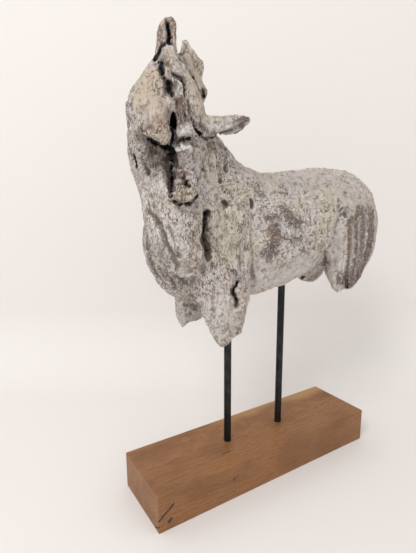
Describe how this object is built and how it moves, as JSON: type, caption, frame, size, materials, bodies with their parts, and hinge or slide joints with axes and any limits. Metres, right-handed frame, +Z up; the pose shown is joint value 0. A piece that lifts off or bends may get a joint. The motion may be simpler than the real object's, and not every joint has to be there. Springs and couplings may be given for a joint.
{
  "type": "horse torso sculpture with raised head",
  "caption": "Weathered driftwood horse torso, head thrown up, legs broken off short, carried by dark steel rods on a plain oak plinth.",
  "frame": {"origin": "centre of the plinth's underside", "axes": "+Z up; +X along the plinth towards the horse's rump, so the horse faces -X; +Y to the horse's right"},
  "size_m": [0.407, 0.1433, 0.5645],
  "materials": {
    "driftwood": "whitewashed and weathered, matt",
    "blackened_steel": "blackened, dull sheen",
    "oiled_oak": "oiled, satin"
  },
  "bodies": {
    "root": {"horse_torso": "driftwood", "front_rod": "blackened_steel", "rear_rod": "blackened_steel", "plinth": "oiled_oak"}
  },
  "joints": []
}
